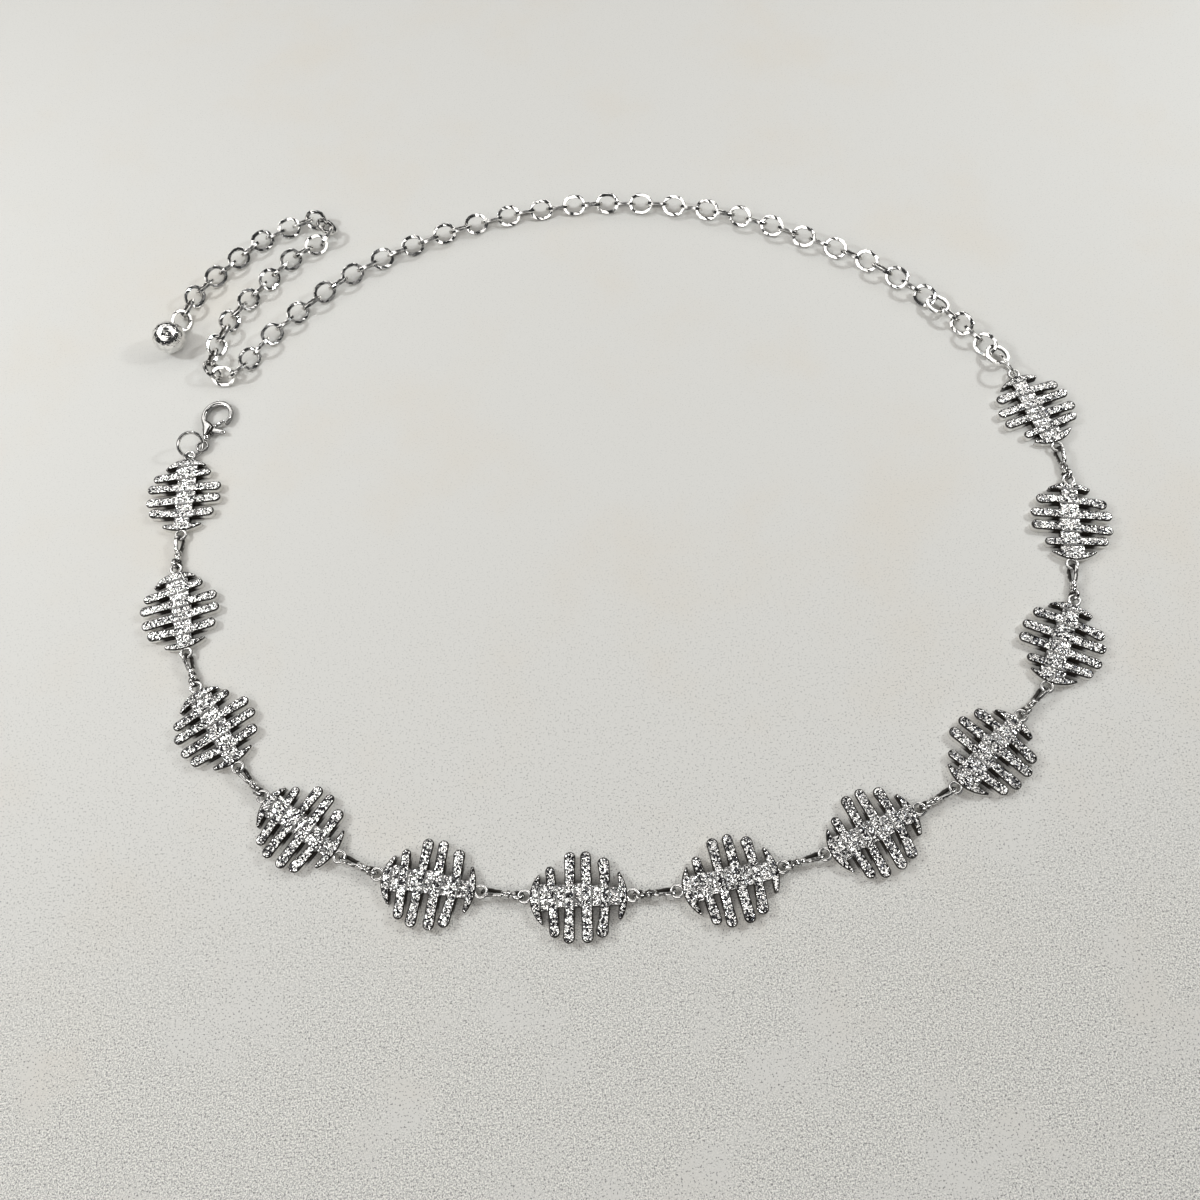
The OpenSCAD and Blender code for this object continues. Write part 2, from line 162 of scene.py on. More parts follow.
# Cable chain: pitch and slack along it, and a link's half circles, straights and wire
LINK_PITCH = 7.0
LINK_SLACK = 0.7
LINK_PLAY = 0.22
LINK_R = 3.425
LINK_STRAIGHT = 1.22
LINK_WIRE = 0.85
# What hammering adds: spread, swell, how square the wire gets, how far corners are knocked
# along x, y and z, the seed for that, and the lowest place of a corner
LINK_SPREAD = 0.27
LINK_SWELL = 0.25
LINK_SQUARE = 5.0
LINK_KNOCK = (0.04, 0.04, 0.07)
KNOCK_SEED = 7
LEAST_Z = 0.02
# How the links lean, which of them lies flat, and the chain's route from its first link
FIRST_LINK_BACK = 0.2
LINK_LEAN = 45.0
LEAN_CHANGE = 5.0
LEAN_STEP = 137
TURN_LEAN = 0.2
FLAT_ROLL = 92.0
FLAT_LINK = 5
SLACK_LINKS = 7
MAIN_SHARE = 0.66
CHAIN_ROUTE = np.array([
    [0, 0], [-8, 14], [-14, 24], [-26, 40], [-40, 55], [-56, 67], [-74, 79], [-92, 89],
    [-118, 98], [-147, 103], [-174, 103], [-201, 99], [-228, 91], [-248, 82],
    [-264, 71], [-281, 57], [-290, 46], [-298, 38], [-305, 40], [-306, 48],
    [-302, 59], [-297, 69], [-287, 80], [-278, 90], [-268, 98], [-260, 101],
    [-258, 108], [-264, 114], [-274, 111], [-286, 106], [-298, 96], [-309, 86],
    [-316, 77], [-321, 62],
], dtype=float)

# Clasp, in its own plane: x from the eye to the hook
CLASP_LEN = 21.0
CLASP_WIDE = 12.6
CLASP_THICK = 3.2
CLASP_EYE_R = 2.0
CLASP_EYE_WIRE = 1.1
CLASP_HEADING = 67.0
# Hook: widths at foot, middle and tip, swell near the tip, start and sweep of its arc in
# degrees, and the arc's middle from the clasp's end, in shares of the clasp's width
HOOK_THICK = 2.4
HOOK_WIDTHS = (2.2, 1.9, 1.3)
HOOK_SWELL = 0.5
HOOK_START = 146
HOOK_SWEEP = -259
HOOK_MIDDLE = 0.54
# Cheeks, and the lever between them on its pin
CHEEK_R = 2.4
CHEEK_INSET = 0.15
CHEEK_BEVEL = 0.65
PIN_R = 0.6
HUB_R = 1.55
LEVER_THICK = 1.2
SLOT_PLAY = 0.05
PIVOT = np.array([7.77, 0.84])
# How far inside the clasp's side the nub ends, and its half thickness
NUB_SHORT = 0.65
NUB_HALF = 0.62
# Share of the gate's length from which it is thicker than the slot
GATE_FREE = 0.47

# Ball at the free end, and how far it is set back towards the last link
BALL_D = 12.6
BALL_EYE_R = 1.4
BALL_EYE_WIRE = 0.9
BALL_BACK = 0.2

# Painted shade and dark reflection on polished silver, painted shade with some tarnish on cast
# silver, and the painted dark reflection of a grain
PAINTED_DARK = (0.03, 0.027, 0.024, 1.0)
DEEP_SHADE_AND_TARNISH = (0.018, 0.015, 0.012, 1.0)
GRAIN_DARK_REFLECTION = (0.05, 0.05, 0.055, 1.0)
# Places along y, in metres, between which the grain turns darker to the front as painted shade, and
# how much
GRAIN_FRONT = (-0.10, 0.01)
FRONT_DARKER = 0.20

# Camera, in metres: where it stands and which ways it faces
CAMERA_AT = (-0.0093, -0.190864, 0.342768)
CAMERA_RIGHT = (0.99212, -0.11460, -0.05058)
CAMERA_UP = (0.12527, 0.90764, 0.40061)
CAMERA_BACK = (0.0, -0.40379, 0.91485)
# The photograph's side and the camera's focal length, in its pixels, and the sensor in mm
PHOTO_SIZE = 1200
PHOTO_FOCUS = 1056.92
SENSOR = 36.0
CLIP_START = 0.01

# Light panels: name, place and size in metres, and share of the glow
PANELS = (
    ("Left_panel", (-0.95, 0.65, 1.05), (1.2, 0.9), 1.05),
    ("Right_panel", (0.95, 0.70, 1.05), (1.3, 1.0), 0.98),
    ("Far_panel", (0.00, 1.20, 1.00), (1.2, 0.6), 0.80),
    ("Top_panel", (-0.05, 0.20, 1.50), (0.5, 0.32), 1.00),
    ("Near_panel", (-0.30, -0.95, 1.05), (1.4, 0.7), 1.18),
    ("Side_panel", (0.95, -0.60, 0.85), (0.9, 0.5), 0.12),
    ("West_panel", (-1.05, -0.50, 0.85), (0.9, 0.5), 1.25),
)
# Small lamps at both sides, in the same way
LAMPS = (
    ("West_lamp", (-0.55, 0.14, 0.45), (0.06, 0.06), 75.0),
    ("East_lamp", (0.55, 0.14, 0.45), (0.06, 0.06), 75.0),
)
PANEL_TINT = (1.0, 0.985, 0.96)
LAMP_TINT = (0.93, 0.98, 1.0)
WORLD_TINT = (0.9, 0.92, 0.95, 1)
WORLD_GLOW = 0.04
FLOOR_HALF = 3.0


# ---- Places ----


def turned(p, degrees):
    """Points (..., 2) turned counterclockwise about the origin."""
    c, s = math.cos(math.radians(degrees)), math.sin(math.radians(degrees))
    return np.asarray(p, dtype=float) @ np.array([[c, s], [-s, c]])


def heading_of(step):
    """Heading of a step (..., 2), in degrees."""
    return np.degrees(np.arctan2(step[..., 1], step[..., 0]))


def placed(points, roll, heading, at):
    """Points (..., 3) rolled about x, turned about z by the heading and moved to at."""
    cr, sr = math.cos(math.radians(roll)), math.sin(math.radians(roll))
    ch, sh = math.cos(math.radians(heading)), math.sin(math.radians(heading))
    over = np.array([[1, 0, 0], [0, cr, sr], [0, -sr, cr]])
    round_z = np.array([[ch, sh, 0], [-sh, ch, 0], [0, 0, 1]])
    return points @ over @ round_z + np.asarray(at, dtype=float)


def walk_belt():
    """Rows of (near ring, middle, far ring) of the medallions, walked heading by heading."""
    near, rows = BELT_START, []
    for heading, onward in zip(MEDALLION_HEADING, CONNECTOR_HEADING + [0]):
        middle = near - turned([-RING_REACH, NEAR_SHIFT], heading)
        far = middle + turned([RING_REACH, 0], heading)
        rows.append((near, middle, far))
        near = far + turned([SPAN, 0], onward)
    return rows


def jump_place(z):
    """(half chord, side shift) of a jump ring where it passes the height z."""
    rise = (z - JUMP_WIRE / 2) / math.cos(math.radians(JUMP_LEAN))
    chord = math.sqrt(2 * JUMP_R * rise - rise * rise)
    return chord, rise * math.sin(math.radians(JUMP_LEAN))


def jump_base(ring_at, heading):
    """Lowest point of the jump ring that hangs in the medallion ring at ring_at."""
    chord, side = jump_place(RING_Z)
    return ring_at + turned([JUMP_SHIFT + chord, -side], heading)


def smooth_route(points, steps=8):
    """Points on a smooth curve through the given ones: on each span it is half of
    2 p1 + (p2 - p0) t + (2 p0 - 5 p1 + 4 p2 - p3) t^2 + (3 p1 - p0 - 3 p2 + p3) t^3."""
    p = np.vstack([points[:1], points, points[-1:]])
    p0, p1, p2, p3 = (p[i:len(p) - 3 + i, None] for i in range(4))
    t = (np.arange(steps) / steps)[None, :, None]
    curve = 0.5 * (2 * p1 + (p2 - p0) * t + (2 * p0 - 5 * p1 + 4 * p2 - p3) * t ** 2
                   + (3 * p1 - p0 - 3 * p2 + p3) * t ** 3)
    return np.vstack([curve.reshape(-1, 2), points[-1:]])


def chain_joints(start):
    """(joints, number of links before the first turn): points where the links meet,
    a pitch apart along the route, less the slack at its start and in its tail."""
    route = smooth_route(CHAIN_ROUTE)
    run = np.concatenate([[0], np.cumsum(np.linalg.norm(np.diff(route, axis=0), axis=1))])
    main = round((run[-1] * MAIN_SHARE + SLACK_LINKS * LINK_SLACK) / LINK_PITCH)
    spent = main * LINK_PITCH - LINK_SLACK * SLACK_LINKS
    count = main + int((run[-1] - spent) / (LINK_PITCH - LINK_SLACK))
    i = np.arange(count + 1)
    along = i * LINK_PITCH - LINK_SLACK * (np.minimum(i, SLACK_LINKS) + np.maximum(0, i - main))
    joints = np.stack([np.interp(along, run, route[:, axis]) for axis in (0, 1)], 1)
    return start + joints, main


def link_rolls(joints):
    """Lean of each link from upright, in degrees: one to the right, the next to the left."""
    step = np.diff(joints, axis=0)
    i = np.arange(len(step))
    turn = np.zeros(len(step))
    a, b = step[:-2], step[2:]
    turn[1:-1] = np.degrees(np.arctan2(a[:, 0] * b[:, 1] - a[:, 1] * b[:, 0], (a * b).sum(1))) / 2
    side = np.where(i % 2 == np.where(i < FLAT_LINK, 1, 0), 1, -1)
    lean = LINK_LEAN + LEAN_CHANGE * np.sin(np.radians(LEAN_STEP * i))
    roll = side * lean - TURN_LEAN * turn
    roll[[0, FLAT_LINK]] = FLAT_ROLL
    return roll


BELT_ROWS = walk_belt()
CHAIN_JUMP_BASE = jump_base(BELT_ROWS[-1][2], CHAIN_JUMP_HEADING)
CLASP_JUMP_BASE = jump_base(BELT_START, CLASP_JUMP_HEADING)
LINK_Z = LINK_R * math.cos(math.radians(LINK_LEAN)) + LINK_WIRE / 2


def after_jump(base, heading, z, shift):
    """Point where a jump ring's far side passes the height z, shifted along its heading."""
    chord, side = jump_place(z)
    return base + turned([chord + shift, side], heading)


CHAIN_START = after_jump(
    CHAIN_JUMP_BASE, CHAIN_JUMP_HEADING, LINK_Z, -JUMP_WIRE / 2 - FIRST_LINK_BACK)
CLASP_AT = after_jump(CLASP_JUMP_BASE, CLASP_JUMP_HEADING, CLASP_THICK / 2, JUMP_SHIFT)
JOINTS, MAIN_COUNT = chain_joints(CHAIN_START)


# ---- Surfaces ----


def grid_faces(rows, cols, wrap_rows):
    """Corner numbers of the quads of a grid whose rows follow one another. Each row is a
    ring, and with wrap_rows the last row joins the first."""
    r = np.arange(rows if wrap_rows else rows - 1)[:, None]
    c = np.arange(cols)[None, :]
    r1, c1 = (r + 1) % rows, (c + 1) % cols
    return np.stack([r * cols + c, r * cols + c1, r1 * cols + c1, r1 * cols + c], -1).reshape(-1, 4)


def surface(points, wrap_rows=False, grain=0.0, shade_and_tarnish=0.0):
    """(vertices, quads, marks) of a closed grid of points, with its faces turned outwards:
    if the volume, a sixth of the sum of a . (b x c) over its triangles, is negative, they flip.
    The marks say how grained the surface is at each point, and how much painted shade and tarnish
    it has there."""
    rows, cols = points.shape[:2]
    verts = points.reshape(-1, 3)
    faces = grid_faces(rows, cols, wrap_rows)
    a, b, c, d = (verts[faces[:, k]] for k in range(4))
    volume = (a * np.cross(b, c)).sum() + (a * np.cross(c, d)).sum()
    marks = np.stack([np.broadcast_to(mark, (rows, cols)) for mark in (grain, shade_and_tarnish)], 2)
    return verts, faces if volume > 0 else faces[:, ::-1], marks.reshape(-1, 2)


def side_ways(path, closed):
    """Unit directions (n, 2) to the left of a flat path."""
    if closed:
        step = np.roll(path, -1, 0) - np.roll(path, 1, 0)
    else:
        step = np.gradient(path, axis=0)
    step = step / np.linalg.norm(step, axis=1)[:, None]
    return np.stack([-step[:, 1], step[:, 0]], 1)


def wire(path, across, up=None, sides=16, closed=False, turn=0.0, square=2.0, dark=None):
    """Wire in the xy plane along a flat path: the point at angle a of its section is
    path + left * across * cos(a)^(2/square) + z * up * sin(a)^(2/square).
    An open wire's ends close as quarter rounds. The section's painted shade is dark(cos a, sin a),
    with left as the inside of a loop."""
    path = np.asarray(path, dtype=float)
    across = np.broadcast_to(across, len(path)).astype(float)
    up = across if up is None else np.broadcast_to(up, len(path)).astype(float)
    left = side_ways(path, closed)
    if not closed:
        lift = np.radians(END_LIFTS)
        drop = lift[::-1]
        count = len(END_LIFTS)
        ahead = np.stack([left[:, 1], -left[:, 0]], 1)
        size = np.minimum(across, up)
        head = path[0] - ahead[0] * (size[0] * np.sin(lift))[:, None]
        tail = path[-1] + ahead[-1] * (size[-1] * np.sin(drop))[:, None]
        path = np.vstack([head, path, tail])
        left = np.vstack([np.repeat(left[:1], count, 0), left, np.repeat(left[-1:], count, 0)])
        across, up = (np.concatenate([half[0] * np.cos(lift), half, half[-1] * np.cos(drop)])
                      for half in (across, up))
    a = 2 * np.pi * (np.arange(sides) + turn) / sides
    ca = np.sign(np.cos(a)) * np.abs(np.cos(a)) ** (2 / square)
    sa = np.sign(np.sin(a)) * np.abs(np.sin(a)) ** (2 / square)
    flat = path[:, None] + left[:, None] * (across[:, None] * ca)[..., None]
    points = np.concatenate([flat, (up[:, None] * sa)[..., None]], 2)
    return surface(points, wrap_rows=closed, shade_and_tarnish=dark(np.cos(a), np.sin(a)) if dark else 0.0)


def edges_dark(c, s):
    """Painted dark reflection on the inner and outer sides of a loop, and none on its faces."""
    return np.clip((0.9 - np.abs(s)) / 0.3, 0, 0.7)


def hook_dark(c, s):
    """Faint painted dark reflection on the sides of the clasp's hook."""
    return np.clip((0.85 - np.abs(s)) / 0.5, 0, 0.55)


def inside_dark(c, s):
    """Painted shade on the inner half of a loop."""
    return np.clip((c + 0.3) / 0.5, 0, 0.9)


def circle_path(r, count=48, centre=(0, 0)):
    """Points on a circle in the xy plane."""
    a = 2 * np.pi * np.arange(count) / count
    return np.array(centre) + r * np.stack([np.cos(a), np.sin(a)], 1)


def belt_path(x1, r1, x2, r2, count=20):
    """Path round two circles on the x axis and along the tangents that they share."""
    side = math.acos((r1 - r2) / (x2 - x1))
    a = np.linspace(side, 2 * math.pi - side, count)
    b = np.linspace(-side, side, count // 2)
    first = np.array([x1, 0]) + r1 * np.stack([np.cos(a), np.sin(a)], 1)
    second = np.array([x2, 0]) + r2 * np.stack([np.cos(b), np.sin(b)], 1)
    share = np.linspace(0, 1, 8)[1:-1, None]
    return np.vstack([first, first[-1] * (1 - share) + second[0] * share,
                      second, second[-1] * (1 - share) + first[0] * share])


def swung(way, degrees):
    """Direction (x, y) turned by each of the given angles."""
    a = np.radians(degrees)
    c, s = np.cos(a), np.sin(a)
    return np.stack([way[0] * c - way[1] * s, way[0] * s + way[1] * c], 1)


def bar_grid(mid, half, wall, top, foot=0.0, flare=0.0, bevel=0.0):
    """(points, middle under each, way out to each) of a cast bar along the points mid with
    half widths half. Seen from above a row of points is middle + way * half * (1 - q), where
    way goes round both sides and both round ends and q runs from 0 at the edge to 1 on the
    middle line. The wall rises to wall, a flat bevel leads inwards, and the crown above it is
    a share sqrt(1 - (1 - q)^2) of what is left up to top, lower where the bar is narrow."""
    mid = np.asarray(mid, dtype=float)
    half = np.broadcast_to(half, len(mid)).astype(float)
    left = side_ways(mid, False)
    turns = CAP_STEPS - 1
    swing = np.linspace(0, -180, CAP_STEPS + 1)[1:-1]
    first, last = np.repeat(mid[:1], turns, 0), np.repeat(mid[-1:], turns, 0)
    middle = np.vstack([mid, last, mid[::-1], first])
    way = np.vstack([left, swung(left[-1], swing), -left[::-1], swung(-left[0], swing)])
    reach = np.concatenate([half, np.full(turns, half[-1]), half[::-1], np.full(turns, half[0])])
    tall = np.sqrt(np.minimum(reach / min(reach.max(), FULL_HALF), 1.0))
    cut = np.minimum(bevel, 0.45 * reach)
    edge = (wall - foot) * (0.5 + 0.5 * tall)
    brow = edge + cut * BEVEL_RISE
    z = [share * edge for share in WALL_SHARES]
    out = [0 * reach] + [reach + share * flare for share in FLARE_SHARES]
    for q in ((np.arange(CROWN_ROWS + 1) / CROWN_ROWS) ** 1.6)[0 if bevel else 1:]:
        z.append(brow + math.sqrt(1 - (1 - q) ** 2) * ((top - wall) * tall - cut * BEVEL_RISE))
        out.append((reach - cut) * (1 - q))
    flat = middle + way * np.array(out)[..., None]
    return np.concatenate([flat, foot + np.array(z)[..., None]], 2), middle, way


def rim_marks(rows, rim):
    """Painted dark reflection on each row of a bar: rim on both edges of its bevel, and a quarter
    just below.
    """
    row = np.arange(rows)[:, None]
    edges = (row == RIM_ROW) | (row == RIM_ROW + 1)
    return np.where(edges, rim, np.where(row == RIM_ROW - 1, rim / 4, 0.0))


def plain_bar(mid, half, wall, top, foot, bevel=0.0, rim=0.0):
    """Smooth cast bar, as bar_grid shapes it, whose rim has as much painted dark reflection as rim
    says.
    """
    points = bar_grid(mid, half, wall, top, foot, bevel=bevel)[0]
    return surface(points, shade_and_tarnish=rim_marks(len(points), rim))


def medallion_bar(mid, half, open_side):
    """Bar of a medallion, as bar_grid shapes it. Its rim has a painted dark reflection, less where
    the webs meet it, and its walls have painted shade with some tarnish near the medallion's
    middle, except on its open side. Its crown has slanting ridges with painted shade in their
    valleys."""
    points, middle, way = bar_grid(
        mid, half, BAR_WALL, MEDALLION_THICK, flare=BAR_FLARE, bevel=BAR_BEVEL)
    row = np.arange(len(points))[:, None]
    crown = row > RIM_ROW + 1
    bare = way[:, 0] * open_side > 0.2
    past_web = np.clip((np.abs(middle[:, 1] - WEB_MIDDLE) - WEB_REACH) / 0.6, 0, 1)
    recessed = 1 - np.clip((np.abs(middle[:, 1]) - RECESS_REACH) / 3, 0, 1)
    free, inner = np.where(bare, 1.0, past_web), np.where(bare, 0.0, recessed)
    rim = rim_marks(len(points), RIM_PAINTED_DARK) * (0.6 + 0.4 * free)
    walls = np.where((row > 0) & (row < RIM_ROW), inner, 0.0)
    ridge = ridge_share(points[..., 0], points[..., 1])
    points[..., 2] -= np.where(crown, RIDGE_DEPTH * (1 - ridge), 0.0)
    valleys = np.clip(1 - ridge / VALLEY_SHARE, 0, VALLEY_SHADE)
    shade_and_tarnish = np.where(crown, valleys, np.maximum(rim, walls))
    return surface(points, grain=1.0 * crown, shade_and_tarnish=shade_and_tarnish)


def ridge_share(x, y):
    """Height of the ridges across the bars at a place of the medallion, from 0 in a valley to
    1: |sin(pi w)|, where w grows by 1 each pitch along y, slants with x and sways a little."""
    sway = 0.25 * np.sin(1.7 * y) + 0.2 * np.sin(2.9 * x + 0.8 * y)
    return np.abs(np.sin(np.pi * ((y + RIDGE_SLANT * x) / RIDGE_PITCH + sway)))


def bend(a, b, c, t):
    """Value at share t of a curve through a at 0, b at one half and c at 1."""
    return a * (1 - t) * (1 - 2 * t) + 4 * b * t * (1 - t) + c * t * (2 * t - 1)


def bar_line(row, t):
    """(middle line, half widths) of a bar at the shares t, from its inner to its outer tip."""
    t = np.asarray(t, dtype=float)
    inner = row[0:2] * [MEDALLION_LEN / 2, MEDALLION_WIDE / 2]
    outer = row[2:4] * [MEDALLION_LEN / 2, MEDALLION_WIDE / 2]
    along = (outer - inner) / np.linalg.norm(outer - inner)
    inner = inner + along * row[5] * BAR_W / 2
    outer = outer - along * row[7] * BAR_W / 2
    line = inner + (outer - inner) * t[..., None]
    line = line + np.stack([4 * row[4] * BAR_W * t * (1 - t), np.zeros_like(t)], -1)
    return line, bend(row[5], row[6], row[7], t) * BAR_W / 2


def bar_across(row, y):
    """Points of a bar's middle line at the places y across the medallion."""
    ends, _ = bar_line(row, np.array([0.0, 1.0]))
    return bar_line(row, (ends[0, 1] - y) / (ends[0, 1] - ends[1, 1]))[0]


def web_surface(left_bar, right_bar, inner, outer):
    """Low web between two bars: a slab whose outline loop of y and z is carried from one
    bar's middle line to the other's. Its inner and outer edges curve in between them, by
    1 - (2 u - 1)^4 of the arch at the share u, and its top sags by 1 - (2 u - 1)^2 of the sag."""
    u = np.linspace(0, 1, 9)
    dip = WEB_ARCH * (1 - (2 * u - 1) ** 4)
    hi, lo = inner - dip, outer + dip
    y = np.stack([hi, hi, hi - WEB_RIM * 0.4, hi - WEB_RIM, (hi + lo) / 2,
                  lo + WEB_RIM, lo + WEB_RIM * 0.4, lo, lo], 1)
    sag = WEB_SAG * (1 - (2 * u[:, None] - 1) ** 2)
    wall, brow, top = WEB_TOP - WEB_RIM, WEB_TOP - WEB_ROUND, WEB_TOP
    z = np.array([0, wall, brow, top, top, top, brow, wall, 0]) - sag
    z[:, [0, -1]] = 0
    a, b = bar_across(left_bar, y), bar_across(right_bar, y)
    flat = a + (b - a) * u[:, None, None]
    points = np.concatenate([flat, z[..., None]], 2)
    points[[0, -1]] = points[[0, -1]].mean(1, keepdims=True)
    # The web's walls are painted dark as shade, and its rounded brows a little
    side = np.array([1, 0.9, 0.3, 0, 0, 0, 0.3, 0.9, 1])
    return surface(points, grain=WEB_GRAIN * (side < 0.5), shade_and_tarnish=side)


def ball_surface(r, centre, rows=40, cols=72):
    """Sphere: centre + r (sin a cos b, sin a sin b, cos a)."""
    a = np.linspace(0, np.pi, rows)[:, None]
    b = (2 * np.pi * np.arange(cols) / cols)[None, :]
    unit = np.stack([np.sin(a) * np.cos(b), np.sin(a) * np.sin(b), np.cos(a) * np.ones_like(b)], 2)
    return surface(np.array(centre) + r * unit)


def moved(part, roll, heading, at):
    """A surface rolled, turned and moved as placed does."""
    return (placed(part[0], roll, heading, at), *part[1:])


# ---- Pieces ----


def mesh_piece(name, parts, finish, nodes, body=BELT, smooth=True):
    """One object from surfaces in millimetres: it stands for nodes and rides on body."""
    verts, faces, marks = zip(*parts)
    starts = np.cumsum([0] + [len(v) for v in verts[:-1]])
    mesh = bpy.data.meshes.new(name)
    quads = np.vstack([f + s for f, s in zip(faces, starts)])
    mesh.from_pydata(np.vstack(verts) * MM, [], quads.tolist())
    # Marks on the points: grain, and painted shade with some tarnish
    for column, mark in enumerate(("grain", "shade_and_tarnish")):
        values = np.ascontiguousarray(np.vstack(marks)[:, column], dtype=np.float32)
        mesh.attributes.new(mark, "FLOAT", "POINT").data.foreach_set("value", values)
    weld = bmesh.new()
    weld.from_mesh(mesh)
    bmesh.ops.remove_doubles(weld, verts=weld.verts, dist=1e-7)
    bmesh.ops.dissolve_degenerate(weld, edges=weld.edges, dist=1e-7)
    weld.to_mesh(mesh)
    weld.free()
    mesh.polygons.foreach_set("use_smooth", [smooth] * len(mesh.polygons))
    mesh.update()
    piece = bpy.data.objects.new(name, mesh)
    bpy.context.scene.collection.objects.link(piece)
    piece.data.materials.append(finish)
    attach(piece, body)
    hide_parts(*nodes)
    return piece


def medallion_parts():
    """Surfaces of one medallion in its own plane: bars, webs and two cast rings."""
    t = np.linspace(0, 1, BAR_STEPS)
    parts = []
    for row, open_side in zip(BARS, OPEN_SIDES):
        mid, half = bar_line(row, t)
        parts.append(medallion_bar(mid, np.maximum(half, LEAST_HALF) + BAR_SPARE, open_side))
    for i, (inner, outer) in enumerate(WEBS * MEDALLION_WIDE / 2):
        parts.append(web_surface(BARS[i], BARS[i + 1], inner, outer))
    ring = wire(circle_path(RING_R), RING_WIRE / 2 + RING_SPARE, closed=True, dark=edges_dark)
    for x, y in ((-RING_REACH, NEAR_SHIFT), (RING_REACH, 0.0)):
        parts.append(moved(ring, 0, 0, (x, y, RING_Z)))
    return parts


def connector_parts():
    """Surfaces of a connector in its own plane: long eye, waisted neck with a collar, round eye."""
    wide_x = EYE_START + LONG_EYE_R
    narrow_x = EYE_START + LONG_EYE_LEN - NARROW_EYE_R
    round_x = SPAN - EYE_START - ROUND_EYE_R
    s = np.linspace(0, 1, 25)
    neck_from, neck_to = narrow_x + NARROW_EYE_R, round_x - ROUND_EYE_R
    neck = np.stack([neck_from + s * (neck_to - neck_from), np.zeros_like(s)], 1)
    waist = NECK_D / 2 + (COLLAR_D - NECK_D) / 2 * np.exp(-((s - 0.5) / 0.2) ** 4)
    long_eye = belt_path(wide_x, LONG_EYE_R, narrow_x, NARROW_EYE_R)
    round_eye = circle_path(ROUND_EYE_R, 40, (round_x, 0))
    return [
        wire(long_eye, CONNECTOR_WIRE / 2 + LONG_EYE_SPARE, closed=True, dark=inside_dark),
        wire(neck, waist),
        wire(round_eye, CONNECTOR_WIRE / 2 + ROUND_EYE_SPARE, closed=True, dark=inside_dark),
    ]


def link_surface(sides, knock, arc=8):
    """Oval link: squarish wire along two half circles and two short straights. It is hammered
    wider by the spread on each side, and outwards by spread * cos(a)^2 round its ends, where it
    is thickest by the swell. The random numbers of knock move each of its corners a little.
    Its inner side is painted dark as shade, and its outer side only along the straights."""
    a = np.linspace(-np.pi / 2, np.pi / 2, arc)
    reach = LINK_R + LINK_SPREAD * np.cos(a) ** 2
    end = reach[:, None] * np.stack([np.cos(a), np.sin(a)], 1) + [LINK_STRAIGHT / 2, 0]
    path = np.vstack([end, -end])
    across = np.full(len(path), LINK_WIRE / 2 + LINK_SPREAD)
    swell = LINK_SWELL * (0.5 + 0.5 * np.clip(np.abs(path[:, 0]) - 0.8, 0, 1))
    points, quads, marks = wire(path, across, LINK_WIRE / 2 + swell, sides=sides,
                                closed=True, turn=0.5, square=LINK_SQUARE)
    side = np.cos(2 * np.pi * (np.arange(sides) + 0.5) / sides)
    middle = np.clip((2.0 - np.abs(path[:, :1])) / 1.0, 0, 1)
    shade_and_tarnish = np.where(side > 0.5, 0.75, np.where(side < -0.5, 0.7 * middle, 0.0))
    marks[:, 1] = shade_and_tarnish.reshape(-1)
    return points + knock.normal(0, 1, points.shape) * LINK_KNOCK, quads, marks


def hook_half(t):
    """Half the hook's width at a share t of its line: half of the curve through its three
    widths, and swell * t * sin(pi t)^4 more."""
    return bend(*HOOK_WIDTHS, t) / 2 + HOOK_SWELL * np.sin(np.pi * t) ** 4 * t


def hook_line(count=25):
    """(middle line, half widths) of the clasp's hook: an oval arc from its foot to its tip."""
    t = np.linspace(0, 1, count)
    mid_x = CLASP_LEN - CLASP_WIDE * HOOK_MIDDLE
    a = np.radians(HOOK_START + HOOK_SWEEP * t)
    x = mid_x + (CLASP_LEN - mid_x - hook_half(0.5)) * np.cos(a)
    y = (CLASP_WIDE / 2 - hook_half(0.3)) * np.sin(a)
    return np.stack([x, y], 1), hook_half(t)


def short_line(at, half):
    """Two points at half a length to each side of a place, for a bar that is nearly round."""
    return at + np.array([[-half, 0], [half, 0]])


def clasp_body_parts():
    """Surfaces of the clasp's body in its own plane: eye, neck, hook, two cheeks and pin."""
    hook, half = hook_line()
    neck = np.array([[CLASP_EYE_R + 1.35, 0], [4.2, 0.3], [5.6, 0.6]])
    cheek = np.array([[5.0, 0.5], [6.4, 0.7], PIVOT, [8.9, 1.9], hook[1]])
    cheek_half = [1.2, 1.75, CHEEK_R - CHEEK_INSET, 1.75, 1.0]
    slot, face = LEVER_THICK / 2 + SLOT_PLAY, CLASP_THICK / 2
    return [
        wire(circle_path(CLASP_EYE_R), CLASP_EYE_WIRE / 2, closed=True, dark=edges_dark),
        wire(neck, [1.0, 1.1, 1.2], [0.9, 1.05, 1.15], square=2.6),
        wire(hook, half, HOOK_THICK / 2, square=2.4, dark=hook_dark),
        # The upper cheek's rim is painted dark, a painted dark reflection round its bright middle
        plain_bar(cheek, cheek_half, slot + 0.1, face, slot, CHEEK_BEVEL, RIM_PAINTED_DARK),
        plain_bar(cheek, cheek_half, -slot, -slot, -face),
        plain_bar(short_line(PIVOT, 0.02), PIN_R, face - 0.1, face, 0.1 - face),
    ]


